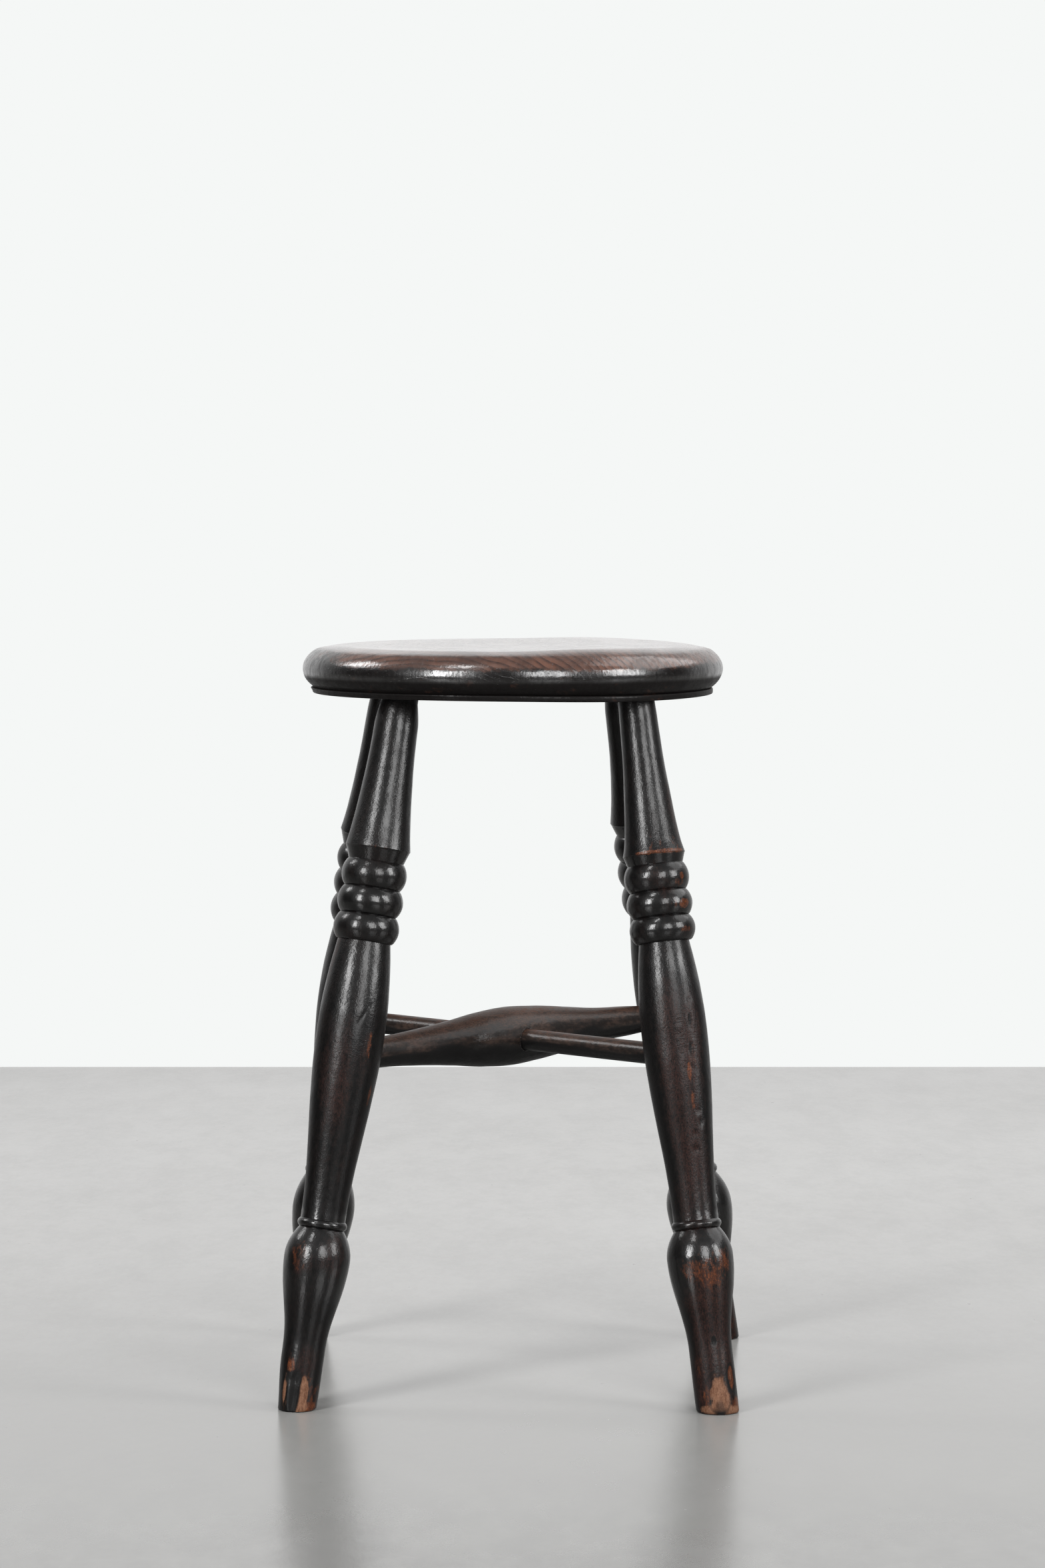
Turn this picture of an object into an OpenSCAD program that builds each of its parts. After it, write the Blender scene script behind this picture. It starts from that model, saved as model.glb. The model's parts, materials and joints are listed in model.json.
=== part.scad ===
// Round-seated wooden stool: four turned, splayed legs tied by two crossed stretchers.
// The origin is on the floor under the middle of the seat, +Z is up and -Y is the front.
// Every joint is a round tenon in a drilled socket.

/* [Seat] */
// Diameter of the seat at its widest
seat_d = 320; // [310:1:330]
// Thickness of the seat board
seat_t = 39; // [37:0.5:42]
// Height of the underside of the seat above the floor
seat_under = 521; // [518:1:527]
// Height above the underside at which the rim is widest
rim_widest = 19; // [17:0.5:21]
// Diameter of the flat part of the top, inside the rounded rim
seat_flat_d = 262; // [250:1:280]
// Diameter of the turned lip around the underside
lip_d = 304.5; // [300:0.5:307]
// Height of the turned lip
lip_h = 4.5; // [3:0.5:6]
// Depth of the groove that sets the lip off from the rim
lip_groove = 1.2; // [0.6:0.2:2]

/* [Leg turning] */
// Radius of a leg at the floor
foot_r = 16; // [14:0.5:18]
// Distance along the leg up to the end of the straight foot
foot_l = 46; // [35:1:55]
// Distance along the leg up to the fullest part of the ball
ball_at = 110; // [106:1:113]
// Radius of the ball
ball_r = 24.6; // [22:0.2:27]
// Distance along the leg up to the middle of the thin ring
ring_at = 138.5; // [136:0.5:141]
// Radius of the thin ring
ring_r = 18.4; // [17.5:0.1:19]
// Radius of the waist that the ring sits on
waist_r = 16.6; // [15.5:0.1:17.2]
// Distance along the leg up to the fullest part of the swelled shaft
swell_at = 279; // [270:1:285]
// Radius of the swelled shaft
swell_r = 25.3; // [24:0.1:27]
// Radius of the neck under the beads
neck_r = 19.6; // [18:0.1:21]
// Distance along the leg up to the bottom of the lowest bead
beads_at = 347.5; // [343:0.5:350]
// Number of beads
bead_count = 3; // [2:1:3]
// Height of one bead
bead_h = 20.1; // [19:0.1:20.5]
// Radius of a bead
bead_r = 24.5; // [23:0.1:26]
// Radius at the bottom of the grooves between the beads
groove_r = 20.6; // [19:0.1:22]
// Height of the bevel under the upper taper
bevel_h = 9.5; // [7:0.5:11]
// Radius of the sharp edge at the foot of the upper taper
taper_r = 24.4; // [23:0.1:26]
// Distance along the leg up to the shoulder below the seat
shoulder_at = 512; // [506:1:512]

/* [Leg joints] */
// Diameter of the tenon that enters the seat
leg_tenon_d = 27; // [24:0.5:28]
// Distance along the leg up to the end of the tenon
leg_l = 556; // [552:1:558]

/* [Front left leg] */
// Its centre line at the underside of the seat: distance to the right of the seat's middle
front_left_top_x = -83.5; // [-100:0.5:-75]
// Its centre line at the underside of the seat: distance behind the seat's middle
front_left_top_y = -89; // [-100:0.5:-75]
// Its centre line at the floor: distance to the right of the seat's middle
front_left_foot_x = -160.5; // [-170:0.5:-145]
// Its centre line at the floor: distance behind the seat's middle
front_left_foot_y = -156; // [-170:0.5:-145]
// How much higher than nominal its beads were turned
front_left_beads = 0.5; // [-6:0.5:6]
// How much higher than nominal its ball was turned
front_left_ball = 1.5; // [-4:0.5:4]
// Radius at its shoulder, just below the seat
front_left_shoulder_r = 16.2; // [14.2:0.1:17]

/* [Front right leg] */
// Its centre line at the underside of the seat: distance to the right of the seat's middle
front_right_top_x = 92; // [75:0.5:100]
// Its centre line at the underside of the seat: distance behind the seat's middle
front_right_top_y = -87.5; // [-100:0.5:-75]
// Its centre line at the floor: distance to the right of the seat's middle
front_right_foot_x = 151; // [145:0.5:170]
// Its centre line at the floor: distance behind the seat's middle
front_right_foot_y = -166.5; // [-170:0.5:-145]
// How much higher than nominal its beads were turned
front_right_beads = -3; // [-6:0.5:6]
// How much higher than nominal its ball was turned
front_right_ball = 3; // [-4:0.5:4]
// Radius at its shoulder, just below the seat
front_right_shoulder_r = 14.4; // [14.2:0.1:17]

/* [Back left leg] */
// Its centre line at the underside of the seat: distance to the right of the seat's middle
back_left_top_x = -95.5; // [-100:0.5:-75]
// Its centre line at the underside of the seat: distance behind the seat's middle
back_left_top_y = 83; // [75:0.5:100]
// Its centre line at the floor: distance to the right of the seat's middle
back_left_foot_x = -164.5; // [-170:0.5:-145]
// Its centre line at the floor: distance behind the seat's middle
back_left_foot_y = 163.5; // [145:0.5:170]
// How much higher than nominal its beads were turned
back_left_beads = -3; // [-6:0.5:6]
// How much higher than nominal its ball was turned
back_left_ball = -3.5; // [-4:0.5:4]
// Radius at its shoulder, just below the seat
back_left_shoulder_r = 15.5; // [14.2:0.1:17]

/* [Back right leg] */
// Its centre line at the underside of the seat: distance to the right of the seat's middle
back_right_top_x = 84.5; // [75:0.5:100]
// Its centre line at the underside of the seat: distance behind the seat's middle
back_right_top_y = 96.5; // [75:0.5:100]
// Its centre line at the floor: distance to the right of the seat's middle
back_right_foot_x = 164; // [145:0.5:170]
// Its centre line at the floor: distance behind the seat's middle
back_right_foot_y = 157; // [145:0.5:170]
// How much higher than nominal its beads were turned
back_right_beads = 5.5; // [-6:0.5:6]
// How much higher than nominal its ball was turned
back_right_ball = -0.5; // [-4:0.5:4]
// Radius at its shoulder, just below the seat
back_right_shoulder_r = 15.5; // [14.2:0.1:17]

/* [Stretchers] */
// Radius of the main stretcher's swelled middle
main_r = 23; // [20:0.5:24]
// Radius of the main stretcher's tenon in the front left leg
main_front_r = 11; // [9:0.5:12]
// Radius of the main stretcher's tenon in the back right leg
main_back_r = 10; // [9:0.5:12]
// Height of the main stretcher's centre line at the front left leg
main_front_z = 257.5; // [250:0.5:265]
// Height of the main stretcher's centre line at the back right leg
main_back_z = 261; // [250:0.5:265]
// Radius of the straight cross stretcher
cross_r = 8.2; // [7:0.1:9]
// Height of the cross stretcher's centre line at both of its legs
cross_z = 258; // [252:0.5:264]
// How far short of the leg's centre line each stretcher tenon stops
tenon_gap = 3; // [2:0.5:6]

/* [Hidden] */

$fn = 96;
STEPS = 10;            // straight facets along each curved stretch of a turned outline
UNDER_FLOOR = 6;       // length of leg turned below the floor line before the foot is cut level
SOCKET_ROOM = 1;       // how much deeper a leg socket is than its tenon
RING_H = 5.6;          // height of the thin ring
LIP_BEVEL = 1.2;       // small bevel at the lower corner of the lip
TAPER_POWER = 1.7;     // how strongly the upper taper is hollowed
SHOULDER_H = 10;       // height over which the shoulder rounds down to the tenon
BEAD_POWER = 0.8;      // below 1 makes the beads fuller than a sine curve
STRAIGHT_END = 38;     // length of plain rod at each end of the main stretcher
TIP = 1.5;             // bevel on the hidden end of a tenon
OWN_TURN = 40;         // turn of each round piece about its own centre line

seat_r = seat_d / 2;
seat_flat_r = seat_flat_d / 2;
lip_r = lip_d / 2;
rim_foot_r = lip_r - lip_groove;
tenon_r = leg_tenon_d / 2;

// Each leg's centre line, as its plan position at the seat and at the floor
front_left = [[front_left_top_x, front_left_top_y], [front_left_foot_x, front_left_foot_y]];
front_right = [[front_right_top_x, front_right_top_y], [front_right_foot_x, front_right_foot_y]];
back_left = [[back_left_top_x, back_left_top_y], [back_left_foot_x, back_left_foot_y]];
back_right = [[back_right_top_x, back_right_top_y], [back_right_foot_x, back_right_foot_y]];

// The point at height z on a leg's centre line
function on_leg(leg, z) = concat(leg[1] + (leg[0] - leg[1]) * z / seat_under, [z]);

// Stretcher ends, each the point where its line meets a leg's centre line
main_start = on_leg(front_left, main_front_z);
main_end = on_leg(back_right, main_back_z);
cross_start = on_leg(front_right, cross_z);
cross_end = on_leg(back_left, cross_z);
main_l = norm(main_end - main_start);
cross_l = norm(cross_end - cross_start);

// Outline points [radius, height] from (z0, r0) towards (z1, r1), leaving out the last point.
// The shapes are an S-curve, one that starts flat and one that ends flat.
function s_curve(z0, r0, z1, r1) = [
    for (i = [0 : STEPS - 1])
        let (t = i / STEPS)
        [r0 + (r1 - r0) * (1 - cos(180 * t)) / 2, z0 + (z1 - z0) * t]
];
function flat_start(z0, r0, z1, r1, power = 2) = [
    for (i = [0 : STEPS - 1])
        let (t = i / STEPS)
        [r0 + (r1 - r0) * pow(t, power), z0 + (z1 - z0) * t]
];
function flat_end(z0, r0, z1, r1, power = 2) = [
    for (i = [0 : STEPS - 1])
        let (t = i / STEPS)
        [r1 + (r0 - r1) * pow(1 - t, power), z0 + (z1 - z0) * t]
];
// One raised bead from z0 up, standing out from radius r0 to r1
function bead(z0, h, r0, r1) = [
    for (i = [0 : STEPS - 1])
        let (t = i / STEPS)
        [r0 + (r1 - r0) * pow(sin(180 * t), BEAD_POWER), z0 + h * t]
];

// Turned outline of a leg, from below the floor to the end of the tenon
function leg_outline(bead_shift, ball_shift, shoulder_r) =
    let (
        ball = ball_at + ball_shift,
        ring_low = ring_at - RING_H / 2,
        ring_high = ring_at + RING_H / 2,
        beads = beads_at + bead_shift,
        beads_top = beads + bead_count * bead_h,
        taper = beads_top + bevel_h
    )
    concat(
        [[0, -UNDER_FLOOR], [foot_r, -UNDER_FLOOR]],
        s_curve(foot_l, foot_r, ball, ball_r),
        flat_start(ball, ball_r, ring_low, waist_r),
        bead(ring_low, RING_H, waist_r, ring_r),
        s_curve(ring_high, waist_r, swell_at, swell_r),
        flat_start(swell_at, swell_r, beads, neck_r),
        [[neck_r, beads]],
        [for (k = [0 : bead_count - 1]) each bead(beads + k * bead_h, bead_h, groove_r, bead_r)],
        [[groove_r, beads_top]],
        flat_end(taper, taper_r, shoulder_at, shoulder_r, TAPER_POWER),
        s_curve(shoulder_at, shoulder_r, shoulder_at + SHOULDER_H, tenon_r),
        [[tenon_r, shoulder_at + SHOULDER_H], [tenon_r, leg_l - TIP], [tenon_r - TIP, leg_l], [0, leg_l]]
    );

// Puts the local Z axis on the line from one point to another, with its X axis out of the upright plane
module along(start, end) {
    d = end - start;
    translate(start)
        rotate([0, acos(d[2] / norm(d)), atan2(d[1], d[0])])
            rotate([0, 0, OWN_TURN])
                children();
}

module on_leg_axis(leg) {
    along(on_leg(leg, 0), on_leg(leg, seat_under))
        children();
}

module leg_tenon_space(leg) {
    on_leg_axis(leg)
        translate([0, 0, shoulder_at])
            cylinder(h = leg_l + SOCKET_ROOM - shoulder_at, r = tenon_r);
}

module main_solid() {
    first_r = main_front_r;
    last_r = main_back_r;
    middle = main_l / 2;
    along(main_start, main_end)
        rotate_extrude()
            polygon(concat(
                [[0, tenon_gap], [first_r - TIP, tenon_gap], [first_r, tenon_gap + TIP]],
                s_curve(STRAIGHT_END, first_r, middle, main_r),
                s_curve(middle, main_r, main_l - STRAIGHT_END, last_r),
                [
                    [last_r, main_l - STRAIGHT_END],
                    [last_r, main_l - tenon_gap - TIP],
                    [last_r - TIP, main_l - tenon_gap],
                    [0, main_l - tenon_gap]
                ]
            ));
}

module cross_solid() {
    far = cross_l - tenon_gap;
    along(cross_start, cross_end)
        rotate_extrude()
            polygon([
                [0, tenon_gap],
                [cross_r - TIP, tenon_gap],
                [cross_r, tenon_gap + TIP],
                [cross_r, far - TIP],
                [cross_r - TIP, far],
                [0, far]
            ]);
}

// One leg, cut level at the floor. Its children are taken out of it as stretcher sockets.
module leg(ends, bead_shift, ball_shift, shoulder_r) {
    floor_cut = 80;
    color([0.13, 0.10, 0.09])
        difference() {
            on_leg_axis(ends)
                rotate_extrude()
                    polygon(leg_outline(bead_shift, ball_shift, shoulder_r));
            translate([ends[1][0], ends[1][1], -floor_cut / 2])
                cube(floor_cut, center = true);
            children();
        }
}

module seat() {
    rim_h = seat_t - rim_widest;
    color([0.25, 0.15, 0.11])
        difference() {
            translate([0, 0, seat_under])
                rotate_extrude($fn = 180)
                    polygon(concat(
                        [[0, 0], [lip_r - LIP_BEVEL, 0], [lip_r, LIP_BEVEL], [lip_r, lip_h]],
                        [
                            for (i = [0 : STEPS])
                                let (a = 90 * i / STEPS)
                                [
                                    rim_foot_r + (seat_r - rim_foot_r) * pow(sin(a), TAPER_POWER),
                                    lip_h + (rim_widest - lip_h) * (1 - cos(a))
                                ]
                        ],
                        [
                            for (i = [1 : STEPS])
                                let (a = 90 * i / STEPS)
                                [seat_flat_r + (seat_r - seat_flat_r) * cos(a), rim_widest + rim_h * sin(a)]
                        ],
                        [[0, seat_t]]
                    ));
            leg_tenon_space(front_left);
            leg_tenon_space(front_right);
            leg_tenon_space(back_left);
            leg_tenon_space(back_right);
        }
}

module leg_front_left() {
    leg(front_left, front_left_beads, front_left_ball, front_left_shoulder_r)
        main_solid();
}

module leg_front_right() {
    leg(front_right, front_right_beads, front_right_ball, front_right_shoulder_r)
        cross_solid();
}

module leg_back_left() {
    leg(back_left, back_left_beads, back_left_ball, back_left_shoulder_r)
        cross_solid();
}

module leg_back_right() {
    leg(back_right, back_right_beads, back_right_ball, back_right_shoulder_r)
        main_solid();
}

module main_stretcher() {
    color([0.20, 0.14, 0.11])
        difference() {
            main_solid();
            cross_solid();
        }
}

module cross_stretcher() {
    color([0.24, 0.17, 0.14])
        cross_solid();
}

seat();
leg_front_left();
leg_front_right();
leg_back_left();
leg_back_right();
main_stretcher();
cross_stretcher();
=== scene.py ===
"""A dark turned stool: round seat, four splayed legs and two crossed stretchers."""
import json
import math
import bpy
import numpy as np
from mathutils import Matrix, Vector


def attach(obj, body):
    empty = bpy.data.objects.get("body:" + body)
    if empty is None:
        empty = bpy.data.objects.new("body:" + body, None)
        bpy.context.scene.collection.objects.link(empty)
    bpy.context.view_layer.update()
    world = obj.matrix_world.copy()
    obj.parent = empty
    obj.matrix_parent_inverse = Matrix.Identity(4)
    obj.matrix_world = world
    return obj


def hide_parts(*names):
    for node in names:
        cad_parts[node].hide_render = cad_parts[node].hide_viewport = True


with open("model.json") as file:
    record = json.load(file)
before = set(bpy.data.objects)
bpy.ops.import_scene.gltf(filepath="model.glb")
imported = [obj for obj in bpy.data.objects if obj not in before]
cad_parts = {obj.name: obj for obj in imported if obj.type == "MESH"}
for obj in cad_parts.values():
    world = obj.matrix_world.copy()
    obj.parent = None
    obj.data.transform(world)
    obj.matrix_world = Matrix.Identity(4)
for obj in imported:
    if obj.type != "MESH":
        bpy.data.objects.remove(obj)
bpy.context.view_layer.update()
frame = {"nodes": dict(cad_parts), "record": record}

MM = 0.001
scene = bpy.context.scene
mounts = {m["name"]: m for m in frame["record"]["mounts"]}


# ---------------------------------------------------------------- numbers and noise

def hash_unit(x, y, z, seed):
    """A repeatable value from 0 to 1 for each point of the integer lattice."""
    n = (x * 73856093) ^ (y * 19349663) ^ (z * 83492791) ^ (seed * 2654435)
    n = (n & 0x7FFFFFFF) * 1103515245 + 12345
    n = (n >> 7) & 0xFFFFFFFF
    n = ((n ^ (n >> 11)) * 2246822519) & 0xFFFFFFFF
    return ((n ^ (n >> 15)) & 0xFFFFFF) / 0xFFFFFF


def noise(points, size, seed=0):
    """Smooth noise from -1 to 1 at an array of points, with features about that size."""
    q = points / np.asarray(size, float)
    cell = np.floor(q).astype(np.int64)
    f = q - cell
    f = f * f * (3 - 2 * f)
    total = np.zeros(points.shape[:-1])
    for i in (0, 1):
        for j in (0, 1):
            for k in (0, 1):
                wx = f[..., 0] if i else 1 - f[..., 0]
                wy = f[..., 1] if j else 1 - f[..., 1]
                wz = f[..., 2] if k else 1 - f[..., 2]
                value = hash_unit(cell[..., 0] + i, cell[..., 1] + j, cell[..., 2] + k, seed)
                total += wx * wy * wz * value
    return 2 * total - 1


def smooth_step(low, high, x):
    t = np.clip((x - low) / (high - low), 0, 1)
    return t * t * (3 - 2 * t)


def curve_through(points, steps):
    """A smooth monotone curve through (place, value) points, as two arrays."""
    x, y = np.array(points, float).T
    slope = np.diff(y) / np.diff(x)
    tangent = np.zeros(len(x))
    tangent[0], tangent[-1] = slope[0], slope[-1]
    same = slope[:-1] * slope[1:] > 0
    mean = 2 * slope[:-1] * slope[1:] / np.where(same, slope[:-1] + slope[1:], 1)
    tangent[1:-1] = np.where(same, mean, 0)
    at = np.linspace(x[0], x[-1], steps)
    i = np.clip(np.searchsorted(x, at, side="right") - 1, 0, len(x) - 2)
    h = x[i + 1] - x[i]
    t = (at - x[i]) / h
    value = (
        (2 * t**3 - 3 * t**2 + 1) * y[i]
        + (t**3 - 2 * t**2 + t) * h * tangent[i]
        + (3 * t**2 - 2 * t**3) * y[i + 1]
        + (t**3 - t**2) * h * tangent[i + 1]
    )
    return at, value


# ---------------------------------------------------------------- meshes

def lathe(name, outline, around, origin, axes, shape):
    """A turned piece. outline is rows of (height, radius) in mm, from the bottom's middle
    outwards, up and back in. shape(height, radius, angle) may change them, and returns them
    with the marks to paint. axes are its X, Y and Z directions, and origin its foot in metres."""
    angle = np.arange(around) * 2 * math.pi / around
    height = np.repeat(outline[:, :1], around, 1)
    radius = np.repeat(outline[:, 1:], around, 1)
    angle = np.repeat(angle[None, :], len(outline), 0)
    height, radius, marks = shape(height, radius, angle)
    grid = np.stack([radius * np.cos(angle), radius * np.sin(angle), height], -1)
    own = np.concatenate([grid.reshape(-1, 3), grid[:1].mean(1), grid[-1:].mean(1)])
    world = np.asarray(origin) + own @ np.array(axes) * MM
    world[:, 2] = np.maximum(world[:, 2], 0)

    rows = len(outline)
    here = np.arange(rows * around).reshape(rows, around)
    beside = np.roll(here, -1, 1)
    sides = np.stack([here[:-1], beside[:-1], beside[1:], here[1:]], -1).reshape(-1, 4)
    low, high = len(own) - 2, len(own) - 1
    faces = sides.tolist()
    faces += [(low, b, a) for a, b in zip(here[0].tolist(), beside[0].tolist())]
    faces += [(high, a, b) for a, b in zip(here[-1].tolist(), beside[-1].tolist())]

    mesh = bpy.data.meshes.new(name)
    mesh.from_pydata(world.tolist(), [], faces)
    mesh.attributes.new("own", "FLOAT_VECTOR", "POINT").data.foreach_set(
        "vector", own.astype(np.float32).ravel()
    )
    for mark, values in marks.items():
        ends = [values[0].mean(), values[-1].mean()]
        values = np.concatenate([values.ravel(), ends]).astype(np.float32)
        mesh.attributes.new(mark, "FLOAT", "POINT").data.foreach_set("value", values)
    piece = bpy.data.objects.new(name, mesh)
    scene.collection.objects.link(piece)
    return piece


def plain_rod(name, start, end, radius, around=64):
    """A plain round cutter between two points, with radius in mm."""
    axis = (end - start).normalized()
    outline = np.array([[0, radius], [(end - start).length / MM, radius]])
    return lathe(name, outline, around, start, axes_along(axis), lambda s, r, t: (s, r, {}))


def axes_along(axis):
    """X, Y and Z directions of a piece turned about that axis, with Y level."""
    level = Vector((-axis.y, axis.x, 0)).normalized()
    return [level.cross(axis), level, axis]


def cut(piece, *cutters):
    """Takes each cutter out of the piece, and deletes it."""
    for cutter in cutters:
        step = piece.modifiers.new("socket", "BOOLEAN")
        step.operation = "DIFFERENCE"
        step.solver = "MANIFOLD"
        step.object = cutter
    depsgraph = bpy.context.evaluated_depsgraph_get()
    mesh = bpy.data.meshes.new_from_object(piece.evaluated_get(depsgraph))
    piece.modifiers.clear()
    old = piece.data
    piece.data = mesh
    bpy.data.meshes.remove(old)
    mesh.name = piece.name
    for cutter in cutters:
        bpy.data.objects.remove(cutter)


def finish_piece(piece, material, node, sharp=34):
    """Shades the piece, gives it its material and puts it in its node's place."""
    piece.data.materials.clear()
    piece.data.materials.append(material)
    piece.data.shade_smooth()
    piece.data.set_sharp_from_angle(angle=math.radians(sharp))
    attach(piece, "root")
    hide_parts(node)


def end_centres(node):
    """The middles of a rod node's two ends, the one further to the front first."""
    points = np.array([v.co for v in frame["nodes"][node].data.vertices])
    middle = points.mean(0)
    axis = np.linalg.svd(points - middle, full_matrices=False)[2][0]
    along = (points - middle) @ axis
    near = 0.3 * MM
    first = points[along < along.min() + near].mean(0)
    last = points[along > along.max() - near].mean(0)
    if first[1] > last[1]:
        first, last = last, first
    return Vector(first), Vector(last)


# ---------------------------------------------------------------- node materials

class Shader:
    """Makes one node material. Each method adds a node and returns its output."""

    def __init__(self, name):
        self.material = bpy.data.materials.new(name)
        self.material.use_nodes = True
        self.tree = self.material.node_tree
        self.tree.nodes.clear()

    def feed(self, socket, value):
        if isinstance(value, bpy.types.NodeSocket):
            self.tree.links.new(value, socket)
        else:
            socket.default_value = value

    def node(self, kind, settings=None, **inputs):
        made = self.tree.nodes.new(kind)
        for name, value in (settings or {}).items():
            setattr(made, name, value)
        for name, value in inputs.items():
            self.feed(made.inputs[name.replace("_", " ")], value)
        return made

    def attribute(self, name, output="Fac"):
        return self.node("ShaderNodeAttribute", {"attribute_name": name}).outputs[output]

    def own(self, size=(1, 1, 1), offset=(0, 0, 0)):
        """The piece's own place in mm, divided by size."""
        vector = self.attribute("own", "Vector")
        scale = tuple(1 / s for s in size)
        return self.node(
            "ShaderNodeMapping", None, Vector=vector, Scale=scale, Location=offset
        ).outputs[0]

    def noise(self, size, detail=2.0, roughness=0.5, distortion=0.0, offset=(0, 0, 0)):
        """Noise from 0 to 1 with features of that size in mm."""
        return self.node(
            "ShaderNodeTexNoise", None, Vector=self.own(size, offset), Scale=1.0,
            Detail=detail, Roughness=roughness, Distortion=distortion,
        ).outputs["Fac"]

    def math(self, operation, a, b=0.0, c=0.0, clamp=False):
        made = self.tree.nodes.new("ShaderNodeMath")
        made.operation = operation
        made.use_clamp = clamp
        for socket, value in zip(made.inputs, (a, b, c)):
            self.feed(socket, value)
        return made.outputs[0]

    def span(self, value, low, high, to_low=0.0, to_high=1.0):
        """value from low..high to to_low..to_high, smoothly and held at the ends."""
        made = self.node("ShaderNodeMapRange", {"interpolation_type": "SMOOTHSTEP"})
        for socket, v in zip(made.inputs, (value, low, high, to_low, to_high)):
            self.feed(socket, v)
        return made.outputs[0]

    def mix(self, factor, a, b):
        made = self.node("ShaderNodeMix", {"data_type": "RGBA"})
        for index, value in ((0, factor), (6, a), (7, b)):
            if isinstance(value, tuple):
                value = (*value, 1)
            self.feed(made.inputs[index], value)
        return made.outputs[2]

    def bump(self, height, depth_mm, normal=None):
        made = self.node("ShaderNodeBump", None, Height=height, Strength=1.0)
        made.inputs["Distance"].default_value = depth_mm * MM
        if normal is not None:
            self.feed(made.inputs["Normal"], normal)
        return made.outputs[0]

    def finish(self, color, roughness, normal, **plain):
        surface = self.node("ShaderNodeBsdfPrincipled", None, Base_Color=color, **plain)
        self.feed(surface.inputs["Roughness"], roughness)
        self.feed(surface.inputs["Normal"], normal)
        output = self.tree.nodes.new("ShaderNodeOutputMaterial")
        self.tree.links.new(surface.outputs[0], output.inputs[0])
        return self.material


BLACK = (0.0010, 0.0009, 0.0009)
DARK_BROWN = (0.0026, 0.0015, 0.0013)
RED_BROWN = (0.0165, 0.0066, 0.0050)
ORANGE = (0.085, 0.0235, 0.0066)
BURNT_ORANGE = (0.0170, 0.0058, 0.0033)
TAN = (0.116, 0.058, 0.034)
DARK_TAN = (0.050, 0.0200, 0.0095)
# near black: used for dark pits, dents and tenons, and also as painted shade on the stretchers'
# undersides
PITCH_AND_SHADE = (0.0012, 0.0010, 0.0010)


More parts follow.
